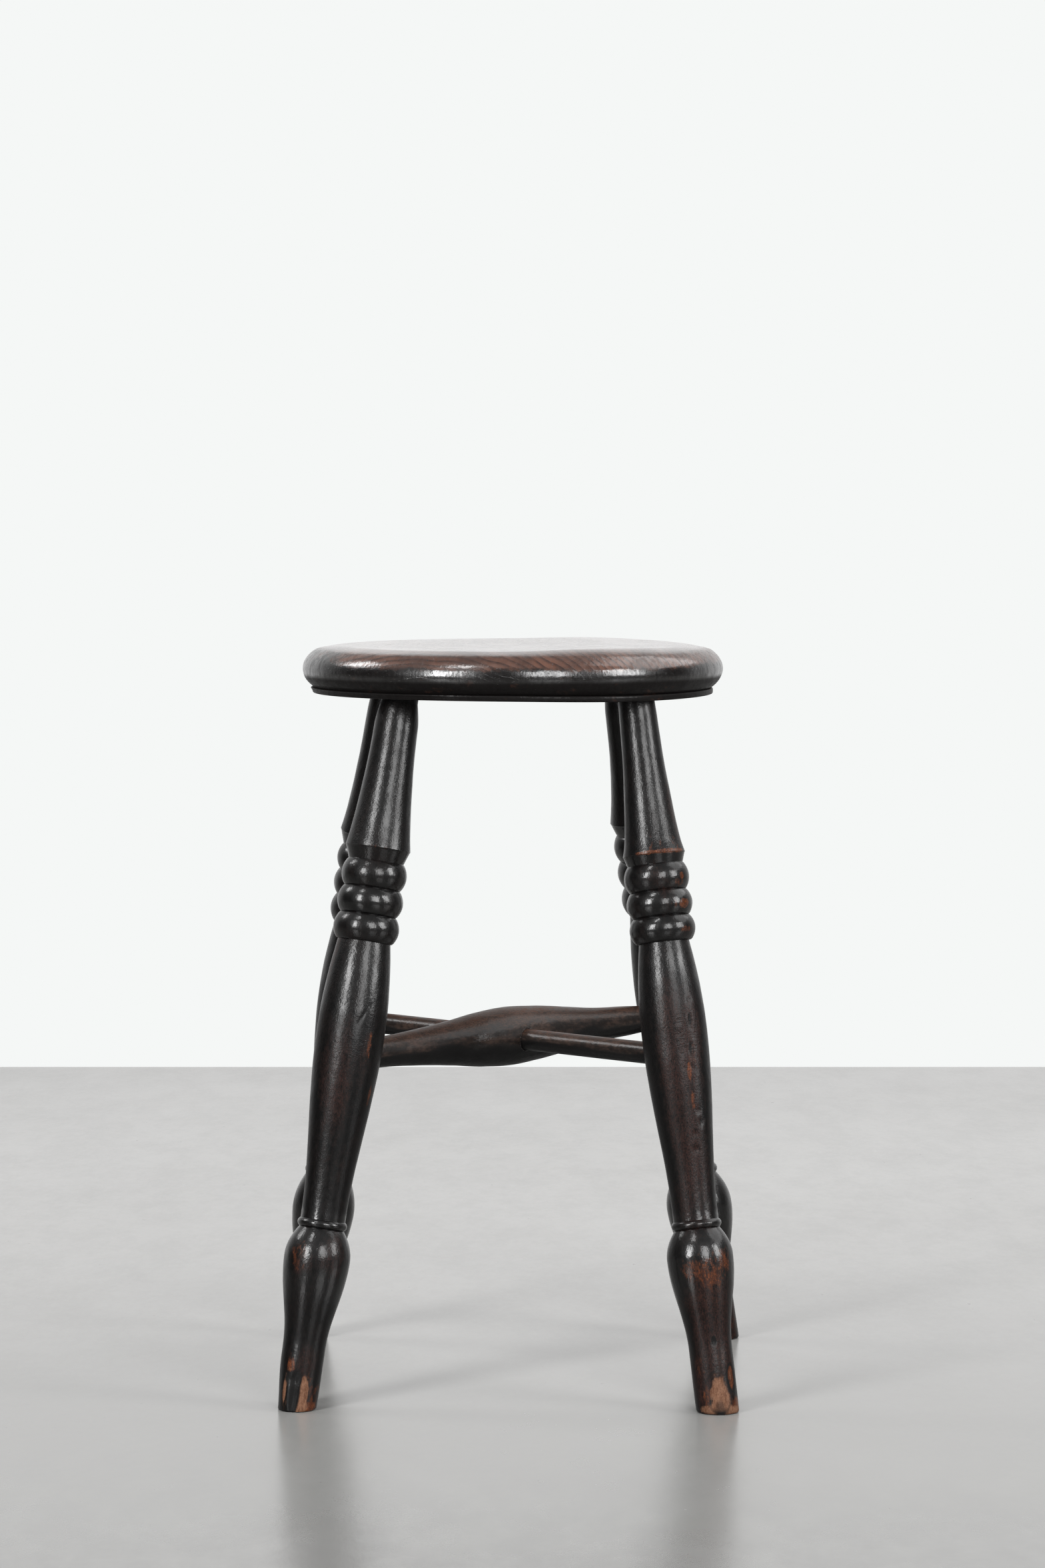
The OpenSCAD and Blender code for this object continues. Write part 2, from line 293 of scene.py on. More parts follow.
def turned_wood(name, black, brown, ruddy_dark, ruddy_light):
    """Near-black stained and waxed turned wood, with its grain along Z."""
    s = Shader(name)
    cloudy = s.noise((11, 11, 30), 4, 0.6)
    blotchy = s.noise((2.6, 2.6, 5), 3, 0.6, offset=(7, 3, 1))
    fibres = s.noise((0.45, 0.45, 9), 2, 0.6)
    pits = s.noise((1.25, 1.25, 1.7), 2, 0.55)
    hammered = s.noise((4.0, 4.0, 5.0), 2, 0.5, offset=(3, 5, 2))
    turning = s.noise((16, 16, 0.6), 1, 0.4)
    speckle = s.noise((0.9, 0.9, 1.4), 3, 0.65, offset=(5, 2, 9))
    crackle = s.noise((1.1, 1.1, 1.6), 3, 0.6, offset=(2, 8, 4))
    crinkles = s.noise((6, 6, 0.8), 2, 0.5, 0.4)

    warm = s.attribute("warm")
    wear = s.attribute("wear")
    bare = s.attribute("bare")
    dark = s.attribute("dark")
    scar = s.attribute("scar")
    satin = s.attribute("satin")
    matt = s.attribute("matt")

    shade = s.math("MULTIPLY_ADD", blotchy, 0.45, s.math("MULTIPLY", cloudy, 0.55))
    color = s.mix(s.span(shade, 0.42, 0.70), black, brown)
    warmth = s.math("ADD", warm, s.math("MULTIPLY_ADD", shade, 1.8, -0.95))
    warmth = s.math("MULTIPLY", s.span(warmth, 0.25, 1.1), s.span(warm, 0.02, 0.3))
    mottled = s.math("MULTIPLY_ADD", speckle, 0.6, s.math("MULTIPLY", fibres, 0.4))
    ruddy = s.mix(s.span(mottled, 0.38, 0.62), ruddy_dark, ruddy_light)
    color = s.mix(warmth, color, ruddy)
    color = s.mix(s.span(mottled, 0.55, 0.75, 0.0, 0.35), color, PITCH_AND_SHADE)
    worn = s.math("ADD", wear, s.math("MULTIPLY_ADD", blotchy, 1.8, -0.95))
    worn = s.math("MULTIPLY", s.span(worn, 0.25, 0.95), s.span(wear, 0.04, 0.3))
    color = s.mix(worn, color, s.mix(s.span(mottled, 0.36, 0.60), ORANGE, BURNT_ORANGE))
    stripped = s.math("ADD", bare, s.math("MULTIPLY_ADD", blotchy, 1.0, -0.5))
    stripped = s.math("MULTIPLY", s.span(stripped, 0.35, 0.75), s.span(bare, 0.05, 0.3))
    pale = s.math("MULTIPLY_ADD", fibres, 0.3, s.math("MULTIPLY", crackle, 0.3))
    pale = s.math("MULTIPLY_ADD", blotchy, 0.4, pale)
    color = s.mix(stripped, color, s.mix(s.span(pale, 0.38, 0.62), TAN, DARK_TAN))
    # the dark mark: near black dents, spots and tenons on the legs, and painted shade on the stretchers'
    # undersides
    color = s.mix(s.span(dark, 0.1, 0.7), color, PITCH_AND_SHADE)

    rough = s.span(blotchy, 0.25, 0.75, 0.36, 0.46)
    rough = s.math("MULTIPLY_ADD", stripped, 0.2, rough)
    rough = s.math("MULTIPLY_ADD", dark, 0.2, rough, clamp=True)
    gloss = s.span(cloudy, 0.28, 0.68, 0.60, 0.30)
    gloss = s.math("MULTIPLY", gloss, s.span(stripped, 0.0, 1.0, 1.0, 0.35))
    gloss = s.math("MULTIPLY", gloss, s.span(dark, 0.1, 1.0, 1.0, 0.35))
    gloss = s.math("MULTIPLY", gloss, s.span(warm, 0.3, 1.0, 1.0, 0.42))
    gloss = s.math("MULTIPLY", gloss, s.span(satin, 0.0, 1.0, 1.0, 0.62))
    gloss = s.math("MULTIPLY", gloss, s.span(matt, 0.0, 1.0, 1.0, 0.22))
    gloss_rough = s.math("MULTIPLY_ADD", satin, 0.06, s.span(hammered, 0.3, 0.7, 0.12, 0.17))
    pitted = s.math("MULTIPLY", pits, s.span(cloudy, 0.30, 0.65, 0.45, 1.0))
    pitted = s.math("MULTIPLY", pitted, s.math("MULTIPLY_ADD", satin, 0.5, 1.0))
    crinkled = s.math("MULTIPLY", s.span(crinkles, 0.52, 0.66), scar)
    normal = s.bump(hammered, 0.13)
    normal = s.bump(pitted, 0.12, normal)
    normal = s.bump(crinkled, 0.12, normal)
    normal = s.bump(fibres, 0.010, normal)
    normal = s.bump(turning, 0.008, normal)
    normal = s.bump(s.math("MULTIPLY", crackle, stripped), -0.10, normal)
    return s.finish(color, rough, normal, Specular_IOR_Level=0.11, Coat_Weight=gloss,
                    Coat_Roughness=gloss_rough, Coat_Normal=normal)


def seat_wood():
    """Reddish-brown waxed wood: wide growth rings round an axis below the board."""
    s = Shader("seat_wood_brown")
    rings_scale = 0.314 / RING_PITCH
    bent = s.noise((60, 160, 60), 2, 0.5)
    bend = s.math("MULTIPLY_ADD", bent, 14.0, -7.0)
    where = s.node("ShaderNodeCombineXYZ", None, X=bend, Y=0.0, Z=bend).outputs[0]
    place = s.node("ShaderNodeVectorMath", {"operation": "ADD"})
    s.feed(place.inputs[0], s.attribute("own", "Vector"))
    s.feed(place.inputs[1], where)
    turned = s.node(
        "ShaderNodeMapping", None, Vector=place.outputs[0],
        Location=(-HEART_X, 0, -HEART_Z), Rotation=(0, 0, math.radians(HEART_YAW)),
    ).outputs[0]
    wave = s.node(
        "ShaderNodeTexWave",
        {"wave_type": "RINGS", "rings_direction": "Y", "wave_profile": "SAW"},
        Vector=turned, Scale=rings_scale, Distortion=1.2, Detail=2.0, Detail_Scale=0.25,
    ).outputs["Fac"]
    pores = s.noise((0.45, 9, 0.45), 2, 0.6)
    streaks = s.noise((3.5, 60, 3.5), 3, 0.6)
    cloudy = s.noise((26, 60, 26), 3, 0.55)

    dark = s.attribute("dark")
    dull = s.attribute("dull")
    late = s.span(wave, 0.35, 0.95)
    late = s.math("MULTIPLY", late, s.span(streaks, 0.25, 0.6, 0.45, 1.0))
    base = s.mix(s.span(cloudy, 0.3, 0.7), (0.066, 0.0300, 0.0200), (0.0290, 0.0140, 0.0100))
    color = s.mix(late, base, (0.0190, 0.0090, 0.0066))
    pored = s.math("MULTIPLY", s.span(pores, 0.60, 0.72), s.span(wave, 0.6, 0.1, 0.25, 0.9))
    color = s.mix(pored, color, (0.006, 0.0038, 0.0032))
    uneven = s.math("MULTIPLY_ADD", s.noise((17, 17, 9), 3, 0.6), 1.3, -1.05)
    uneven = s.math("MULTIPLY_ADD", streaks, 0.8, uneven)
    # painted shade: the rim below its widest point is painted near black; the seat is also darker
    # towards its ends
    painted_shade_and_dark_ends = s.math("MULTIPLY_ADD", uneven, s.span(dark, 0.0, 0.3), dark)
    color = s.mix(s.span(painted_shade_and_dark_ends, 0.15, 0.85), color, (0.0036, 0.0031, 0.0030))
    nicks = s.span(s.noise((2.2, 2.2, 1.5), 1, 0.4, 0.0, (3, 3, 8)), 0.73, 0.79)
    color = s.mix(nicks, color, (0.0030, 0.0024, 0.0022))

    rough = s.span(cloudy, 0.3, 0.7, 0.20, 0.30)
    rough = s.math("MULTIPLY_ADD", pored, 0.2, rough)
    rough = s.math("MULTIPLY_ADD", dull, 0.25, rough)
    nicked = s.noise((3.2, 3.2, 9), 3, 0.6, 0.3, (4, 1, 6))
    gloss = s.span(nicked, 0.38, 0.56, 0.08, 0.50)
    gloss = s.math("MULTIPLY", gloss, s.span(dull, 0, 1, 1.0, 0.16))
    gloss = s.math("MAXIMUM", gloss, s.math("MULTIPLY", s.attribute("top"), 0.85))
    shine = s.span(dull, 0.0, 1.0, 0.40, 0.05)
    normal = s.bump(s.noise((2.6, 3.4, 2.4), 3, 0.55), 0.08)
    normal = s.bump(nicked, 0.16, normal)
    normal = s.bump(nicks, -0.25, normal)
    normal = s.bump(pored, -0.02, normal)
    normal = s.bump(late, 0.012, normal)
    return s.finish(color, rough, normal, Specular_IOR_Level=shine, Coat_Weight=gloss,
                    Coat_Roughness=0.09, Coat_Normal=normal)


def floor_material():
    """Pale grey polished floor with faint streaks and specks."""
    s = Shader("pale_floor")
    coords = s.node("ShaderNodeTexCoord").outputs["Object"]

    def at(scale, detail, roughness=0.6, seed=0.0):
        vector = s.node("ShaderNodeMapping", None, Vector=coords, Scale=scale,
                        Location=(seed, seed, 0)).outputs[0]
        return s.node("ShaderNodeTexNoise", None, Vector=vector, Scale=1.0, Detail=detail,
                      Roughness=roughness).outputs["Fac"]

    broad = at((1.6, 1.3, 1), 4)
    fine = at((38, 15, 1), 5, 0.65, 3.0)
    specks = at((110, 55, 1), 2, 0.5, 9.0)
    tone = s.math("MULTIPLY_ADD", fine, 0.35, s.math("MULTIPLY", broad, 0.65))
    # painted light and shade: the floor is painted darker towards the front and lighter towards the back
    light, shade = (0.305, 0.303, 0.294), (0.070, 0.0697, 0.0680)
    deep = s.node("ShaderNodeSeparateXYZ", None, Vector=coords).outputs["Y"]
    deep = s.math("MULTIPLY_ADD", tone, 0.55, s.math("ADD", deep, -0.275))
    color = s.mix(s.span(deep, -1.6, 1.5), shade, light)
    scuffs = s.math("MULTIPLY_ADD", at((17, 6, 1), 6, 0.75, 5.0), 0.6, s.math("MULTIPLY", fine, 0.4))
    color = s.mix(s.span(scuffs, 0.34, 0.62, 0.36, 0.0), color, (0.165, 0.165, 0.157))
    color = s.mix(s.span(specks, 0.74, 0.80, 0.0, 0.5), color, (0.1, 0.095, 0.09))
    rough = s.span(tone, 0.3, 0.7, 0.20, 0.28)
    normal = s.bump(fine, 0.15)
    return s.finish(color, rough, normal)


# ---------------------------------------------------------------- legs

AROUND_LEG = 160
MARKS = ("warm", "wear", "bare", "dark", "scar", "satin", "matt")


class Leg:
    """One leg's measures in mm along its centre line, and its marks."""

    def __init__(self, side, edge, beads, ring, ball, taper, swell_r=25.3, neck_r=19.6,
                 edge_r=24.4, ball_r=24.5, warmth=0.2, patches=(), dents=()):
        self.side, self.edge, self.beads = side, edge, beads
        self.ring, self.ball, self.taper = ring, ball, taper
        self.swell_r, self.neck_r = swell_r, neck_r
        self.edge_r, self.ball_r = edge_r, ball_r
        self.warmth, self.patches, self.dents = warmth, patches, dents


FOOT_R = 15.8
WAIST_R = 16.6
RING_R = 18.5
RING_H = 6.4
SWELL_AT = 279
BEAD_R = 24.5
GROOVE_R = 20.6
TENON_R = 13.5
LEG_L = 556
SHOULDER_AT = 511
SHOULDER_H = 17
BEAD_POWER = 0.75


def s_shape(z0, r0, z1, r1, steps):
    t = np.linspace(0, 1, steps, endpoint=False)
    return np.stack([z0 + (z1 - z0) * t, r0 + (r1 - r0) * (1 - np.cos(math.pi * t)) / 2], 1)


def falling(z0, r0, z1, r1, steps, power=2.0):
    t = np.linspace(0, 1, steps, endpoint=False)
    return np.stack([z0 + (z1 - z0) * t, r0 + (r1 - r0) * t**power], 1)


def bead_shape(z0, z1, low_r, high_r, steps):
    t = np.linspace(0, 1, steps, endpoint=False)
    return np.stack(
        [z0 + (z1 - z0) * t, low_r + (high_r - low_r) * np.sin(math.pi * t) ** BEAD_POWER], 1
    )


def leg_outline(leg):
    """Rows of (height, radius) from the foot to the end of the tenon."""
    top, middle, low = leg.beads
    upper_groove, lower_groove = (top + middle) / 2, (middle + low) / 2
    beads_foot = low - (middle - low) / 2
    beads_top = top + (top - middle) / 2
    ring_low, ring_high = leg.ring - RING_H / 2, leg.ring + RING_H / 2
    taper_at, taper_r = curve_through([(leg.edge, leg.edge_r), *leg.taper], 76)
    shoulder_r = leg.taper[-1][1]
    rows = [
        [[0.0, 4.0], [0.0, 10.0], [0.0, FOOT_R - 1.3], [0.35, FOOT_R - 0.4], [1.3, FOOT_R]],
        np.stack([np.linspace(2.4, 46, 38, endpoint=False), np.full(38, FOOT_R)], 1),
        s_shape(46, FOOT_R, leg.ball, leg.ball_r, 56),
        falling(leg.ball, leg.ball_r, ring_low, WAIST_R, 26),
        bead_shape(ring_low, ring_high, WAIST_R, RING_R, 14),
        s_shape(ring_high, WAIST_R, SWELL_AT, leg.swell_r, 118),
        falling(SWELL_AT, leg.swell_r, beads_foot, leg.neck_r, 60),
        [[beads_foot, leg.neck_r]],
        bead_shape(beads_foot, lower_groove, GROOVE_R, BEAD_R, 26),
        bead_shape(lower_groove, upper_groove, GROOVE_R, BEAD_R, 26),
        bead_shape(upper_groove, beads_top, GROOVE_R, BEAD_R - 0.2, 26),
        np.stack([np.linspace(beads_top, leg.edge - 0.5, 9),
                  np.linspace(GROOVE_R, leg.edge_r - 0.4, 9)], 1),
        np.stack([taper_at, taper_r], 1)[:-1],
        falling(SHOULDER_AT, shoulder_r, SHOULDER_AT + SHOULDER_H, TENON_R, 18, 1.35),
        [[s, TENON_R] for s in np.linspace(SHOULDER_AT + SHOULDER_H, LEG_L - 1.5, 8)],
        [[LEG_L, TENON_R - 1.5]],
    ]
    return np.concatenate([np.array(r, float) for r in rows])


def distance_from_mark(height, radius, angle, at, around, tall, wide):
    """The square of each point's distance from a mark at a height and angle, with 1 on the
    oval that is tall and wide (both measured in mm from its middle)."""
    turn = (np.degrees(angle) - around + 180) % 360 - 180
    across = np.radians(turn) * radius
    return ((height - at) / tall) ** 2 + (across / wide) ** 2


def leg_shape(leg, seed, tilt):
    """The function that ages a leg: its outline wobbles, dents and worn marks."""

    def shape(height, radius, angle):
        cut = radius * np.cos(angle) * tilt
        place = np.stack([radius * np.cos(angle), radius * np.sin(angle), height], -1)
        on_tenon = smooth_step(SHOULDER_AT + 12, SHOULDER_AT + 18, height)
        relief = 0.16 * noise(place, 30, seed) + 0.10 * noise(place, (11, 11, 16), seed + 1)
        relief += 0.05 * noise(place, (4.5, 4.5, 7), seed + 2)
        relief *= 1 - on_tenon
        foot = 1 - smooth_step(2, 14, height)
        relief = relief * (1 - foot * 0.6) - foot * 0.1
        marks = {mark: np.zeros_like(height) for mark in MARKS}
        marks["matt"] += smooth_step(143, 150, height) * (1 - smooth_step(284, 306, height))
        marks["matt"] += 0.8 * (1 - smooth_step(70, 95, height))
        marks["satin"] += smooth_step(leg.edge - 2, leg.edge + 4, height)
        marks["satin"] += 0.8 * smooth_step(250, 290, height) * (height < leg.beads[2] - 8)
        marks["warm"] += leg.warmth * (1 + noise(place, (22, 22, 60), seed + 3))
        marks["dark"] += 0.7 * on_tenon
        for at, around, tall, wide, mark, amount in leg.patches:
            far = distance_from_mark(height, radius, angle, at, around, tall, wide)
            if mark == "outline":
                marks["dark"] += amount * np.exp(-(((np.sqrt(far) - 1) / 0.15) ** 2))
            else:
                marks[mark] += amount * np.exp(-(far**2))
        for at, around, tall, wide, depth in leg.dents:
            far = distance_from_mark(height, radius, angle, at, around, tall, wide)
            relief -= depth * np.exp(-far)
        for mark in marks:
            marks[mark] = np.clip(marks[mark], 0, 1)
        level = np.clip(1 - height / 30, 0, 1)
        return height + cut * level, radius + relief, marks

    return shape


def make_leg(leg, seed, material, *cutters):
    node = "leg_" + leg.side
    foot = Vector(mounts["foot_" + leg.side]["pos_m"])
    points = np.array([v.co for v in frame["nodes"][node].data.vertices])
    far = np.linalg.norm(points - np.array(foot), axis=1)
    top = Vector(points[far > far.max() - 0.8 * MM].mean(0))
    axis = (top - foot).normalized()
    axes = axes_along(axis)
    tilt = -axes[0].z / axis.z
    name = leg.side + "_leg"
    shape = leg_shape(leg, seed, tilt)
    piece = lathe(name, leg_outline(leg), AROUND_LEG, foot, axes, shape)
    if cutters:
        cut(piece, *cutters)
    finish_piece(piece, material, node)
    return foot, axis


# Marks on the legs, as (height, angle in degrees, half height, half width, mark, amount), and
# dents as (height, angle, half height, half width, depth). An angle is taken round the leg.
# Many heights and angles on the front legs were first worked out by a scratch program, from
# points picked in the photo through the fitted camera. They were then rounded and tuned, as the
# sizes and amounts were from the start. The marks on the back legs are partly guessed.
FRONT_LEFT_PATCHES = (
    (31.5, 203, 4.2, 3.4, "wear", 1.3), (38, 199, 9, 3, "wear", 0.5), (29, 203, 2, 2.6, "bare", 0.5),
    (12, 222, 17, 4.2, "dark", 1.2), (23, 212, 4.5, 6.5, "dark", 1.2),
    (11, 246, 16, 4.4, "bare", 1.1), (3, 248, 4, 5, "bare", 0.8), (24, 250, 5, 5, "wear", 0.5),
    (17, 190, 10, 2.2, "bare", 0.75), (6, 196, 8, 2.6, "bare", 0.45), (9, 282, 14, 8, "wear", 0.5),
    (3, 270, 4, 9, "wear", 0.7), (35, 240, 14, 10, "warm", 0.7), (8, 262, 12, 5, "warm", 0.9),
    (112, 195, 13, 8, "wear", 0.5), (107, 205, 10, 9, "warm", 0.6), (117, 262, 18, 13, "warm", 0.55),
    (271, 266, 12, 2.2, "wear", 0.75), (237, 291, 9, 2.2, "wear", 0.65), (262, 262, 26, 5, "warm", 0.6),
    (336, 158, 26, 5, "warm", 0.8), (272, 240, 10, 12, "scar", 0.5), (252, 214, 40, 15, "warm", 0.7),
    (200, 230, 50, 16, "warm", 0.3), (418.5, 225, 1.4, 12, "wear", 0.35),
)
FRONT_LEFT_DENTS = (
    (0, 139.5, 22, 16, 3.1), (12, 221, 15, 3.0, 1.3), (23, 212, 3.6, 4.6, 0.9), (0, 186, 4, 9, 1.3),
    *((302 - 15 * k / 8, 258 - 18 * k / 8, 1.5, 0.9, 0.30) for k in range(9)),
)
FRONT_RIGHT_PATCHES = (
    (108, 150, 13, 24, "wear", 0.30), (105, 122, 8, 8, "wear", 0.34), (102, 163, 11, 12, "wear", 0.34),
    (111, 192, 9, 7, "wear", 0.44), (86, 152, 15, 13, "wear", 0.30), (84, 148, 26, 17, "warm", 0.85),
    (56, 150, 22, 14, "warm", 0.85), (30, 185, 22, 7, "warm", 0.8), (52, 153, 3.6, 1.9, "dark", 1.3),
    (11, 152, 14, 8.2, "bare", 0.85), (8, 168, 8, 5, "bare", 0.4), (26, 152, 9, 6, "bare", 0.3),
    (26, 145, 14, 10, "warm", 0.9),
    (15, 150, 15, 9.6, "outline", 0.40), (24.4, 195, 7.5, 3.0, "wear", 1.5),
    (25, 194, 6, 1.6, "bare", 0.55), (24.4, 195, 9.5, 4.4, "outline", 0.7),
    (5, 208, 8, 7, "wear", 1.0), (3, 200, 3.4, 8, "bare", 0.8), (3.4, 112, 4, 8, "bare", 0.65),
    (12, 116, 11, 3.4, "wear", 0.75), (34, 106, 9, 5, "wear", 0.42), (20, 98, 20, 8, "warm", 1.0),
    (40, 166, 5, 5, "wear", 0.38), (5, 150, 6, 4.5, "dark", 0.45), (20, 80, 24, 5, "dark", 0.4),
    (413.6, 128, 1.6, 9, "wear", 1.0), (413.4, 178, 1.8, 13, "wear", 1.2),
    (413.5, 150, 1.3, 24, "wear", 0.6),
    (420, 137, 9, 2.2, "wear", 0.42), (419, 156, 9, 2.2, "wear", 0.42), (419, 186, 8, 6, "wear", 0.38),
    (394.6, 193, 2.6, 2.2, "wear", 1.5), (390, 188, 3.5, 6, "wear", 0.6),
    (373.8, 192, 3.6, 4.6, "wear", 1.4),
    (374, 178, 3.5, 8, "wear", 0.5), (355, 188, 2.6, 7, "wear", 0.6), (392, 150, 16, 14, "warm", 0.35),
    (250, 161, 6.5, 1.7, "wear", 1.5), (229, 163, 8, 2.2, "wear", 0.7), (264, 172, 16, 5, "wear", 0.4),
    (250, 143, 64, 15, "warm", 0.95), (285, 182, 34, 7, "warm", 0.7), (165, 140, 50, 15, "warm", 0.55),
    (280, 163, 16, 12, "scar", 1.3), (258, 166, 18, 8, "scar", 0.7), (215, 174, 22, 5, "scar", 0.5),
    (215, 84, 150, 10, "dark", 0.42), (302, 155, 26, 26, "matt", 0.75),
    (440, 214, 26, 6, "warm", 0.8), (288, 173, 5, 1.2, "dark", 0.8),
    (267, 168, 6, 1.2, "dark", 0.8),
)
FRONT_RIGHT_DENTS = (
    (302, 176, 2.2, 2.2, 0.5), (288, 173, 4.5, 1.4, 0.8), (266, 168, 5, 1.4, 0.8), (253, 167, 2, 2, 0.5),
    (221, 173, 2.6, 2.4, 0.6), (212, 178, 3, 2, 0.6), (204, 163, 2, 2, 0.5), (192, 161, 2.3, 2.3, 0.7),
    (24.4, 195, 8, 3.4, 0.7), (52, 153, 3, 1.8, 0.6), (0, 130, 3, 5, 0.5), (0, 175, 2.5, 6, 0.4),
)
BACK_LEFT_PATCHES = (
    (110, 300, 14, 12, "warm", 0.5), (14, 320, 16, 10, "warm", 0.8), (6, 330, 6, 8, "wear", 0.5),
    (416.5, 330, 1.4, 12, "wear", 0.5), (255, 300, 50, 12, "warm", 0.4),
)
BACK_RIGHT_PATCHES = (
    (26, 75, 34, 16, "warm", 1.0), (18, 80, 22, 14, "wear", 0.42), (424.7, 60, 1.4, 12, "wear", 0.5),
    (112, 60, 14, 14, "warm", 0.5), (245, 70, 50, 12, "warm", 0.5),
)

LEGS = [
    Leg("front_left", 418.2, (398.4, 378.3, 358.4), 137.1, 111.8,
        [(428, 22.7), (438, 21.4), (462, 18.9), (486, 17.2), (511, 16.2)], edge_r=24.3,
        warmth=0.10, patches=FRONT_LEFT_PATCHES, dents=FRONT_LEFT_DENTS),
    Leg("front_right", 412.9, (395.4, 375.6, 357.0), 137.7, 113.5,
        [(422, 21.1), (438, 19.0), (454, 17.6), (470, 16.2), (486, 15.2), (511, 14.3)],
        swell_r=24.4, neck_r=18.5, edge_r=23.2,
        warmth=0.22, patches=FRONT_RIGHT_PATCHES, dents=FRONT_RIGHT_DENTS),
    Leg("back_left", 416.5, (394.4, 374.7, 353.4), 138.5, 107.0,
        [(427, 22.4), (438, 20.9), (462, 18.4), (486, 16.6), (511, 15.5)],
        warmth=0.10, patches=BACK_LEFT_PATCHES),
    Leg("back_right", 424.7, (404.1, 383.4, 361.8), 138.5, 109.8,
        [(435, 22.4), (446, 20.6), (468, 18.0), (488, 16.4), (511, 15.5)], ball_r=25.8,
        warmth=0.14, patches=BACK_RIGHT_PATCHES),
]


# ---------------------------------------------------------------- stretchers

ROD_R = 8.15
ROD_HOLE_R = 8.6
ROD_SOCKET_R = 8.35
MAIN_FRONT_SOCKET_R = 11.3
MAIN_BACK_SOCKET_R = 10.2
# Outline of the main stretcher, as (fraction of its length, radius)
MAIN_RADII = (
    (0.0, 11.2), (0.10, 11.5), (0.19, 13.3), (0.31, 17.2), (0.39, 20.6), (0.478, 22.4), (0.56, 20.8),
    (0.62, 18.8), (0.67, 16.7), (0.77, 13.0), (0.86, 11.5), (0.92, 10.3), (1.0, 10.0),
)


def stretcher_shape(seed, warm_top):
    def shape(height, radius, angle):
        place = np.stack([radius * np.cos(angle), radius * np.sin(angle), height], -1)
        relief = 0.12 * noise(place, (16, 16, 34), seed) + 0.05 * noise(place, (5, 5, 9), seed + 1)
        up = -np.cos(angle)
        marks = {mark: np.zeros_like(height) for mark in MARKS}
        marks["matt"] += 0.6
        marks["warm"] = np.clip(warm_top * smooth_step(0.0, 0.9, up) + 0.12, 0, 1)
        marks["wear"] = 0.70 * smooth_step(0.60, 1.0, up) * (1 + noise(place, (9, 9, 30), seed + 2)) / 2
        # painted shade: the lower side of each stretcher is painted near black, more the further it
        # faces down
        marks["dark"] = 0.85 * smooth_step(-0.3, 0.35, 0.25 * noise(place, (7, 7, 22), seed + 3) - up)
        return height, radius + relief, marks

    return shape


def make_main_stretcher(material, rod_start, rod_end):
    start, end = end_centres("main_stretcher")
    length = (end - start).length / MM
    at, radius = curve_through([(t * length, r) for t, r in MAIN_RADII], 300)
    outline = np.stack([at, radius], 1)
    piece = lathe(
        "main_stretcher_turned", outline, 128, start, axes_along((end - start).normalized()),
        stretcher_shape(71, 0.8),
    )
    cut(piece, plain_rod("cutter", rod_start, rod_end, ROD_HOLE_R))
    finish_piece(piece, material, "main_stretcher")


def make_cross_stretcher(material, start, end):
    length = (end - start).length / MM
    outline = np.stack([np.linspace(0, length, 260), np.full(260, ROD_R)], 1)
    piece = lathe(
        "cross_stretcher_turned", outline, 72, start, axes_along((end - start).normalized()),
        stretcher_shape(83, 0.7),
    )
    finish_piece(piece, material, "cross_stretcher")


# ---------------------------------------------------------------- seat

UNDERSIDE = 520.9
SEAT_TOP = 559.6
RIM_R = 159.6
RIM_WIDEST_Z = 540.0
FLAT_R = 131.0
LIP_R = 152.2
LIP_TOP = 525.6
RING_PITCH = 3.7
HEART_X = -60.0
HEART_Z = 390.0
HEART_YAW = 2.0


def seat_outline():
    """Rows of (height, radius) from the middle of the underside round to the top's middle."""
    lower = np.linspace(0, math.pi / 2, 44)
    upper = np.linspace(0, math.pi / 2, 52)[1:]
    groove_r = LIP_R - 1.6
    under = [[UNDERSIDE, r] for r in (4, 30, 60, 80, 100, 115, 128, 138, 145, 149)]
    lip = [
        [UNDERSIDE, LIP_R - 1.4], [UNDERSIDE + 0.25, LIP_R - 0.6], [UNDERSIDE + 0.9, LIP_R - 0.1],
        [UNDERSIDE + 1.8, LIP_R], [UNDERSIDE + 2.8, LIP_R + 0.1], [LIP_TOP - 1.1, LIP_R],
        [LIP_TOP - 0.5, LIP_R - 0.25], [LIP_TOP - 0.1, LIP_R - 0.8], [LIP_TOP, groove_r],
    ]
    low = [
        [LIP_TOP + (RIM_WIDEST_Z - LIP_TOP) * (1 - math.cos(a)),
         groove_r + (RIM_R - groove_r) * math.sin(a) ** 1.66]
        for a in lower[1:]
    ]
    high = [
        [RIM_WIDEST_Z + (SEAT_TOP - RIM_WIDEST_Z) * math.sin(a),
         FLAT_R + (RIM_R - FLAT_R) * math.cos(a) ** 1.04]
        for a in upper
    ]
    top = [[SEAT_TOP, r] for r in np.linspace(FLAT_R, 4, 42)[1:]]
    return np.array([*under, *lip, *low, *high, *top], float)


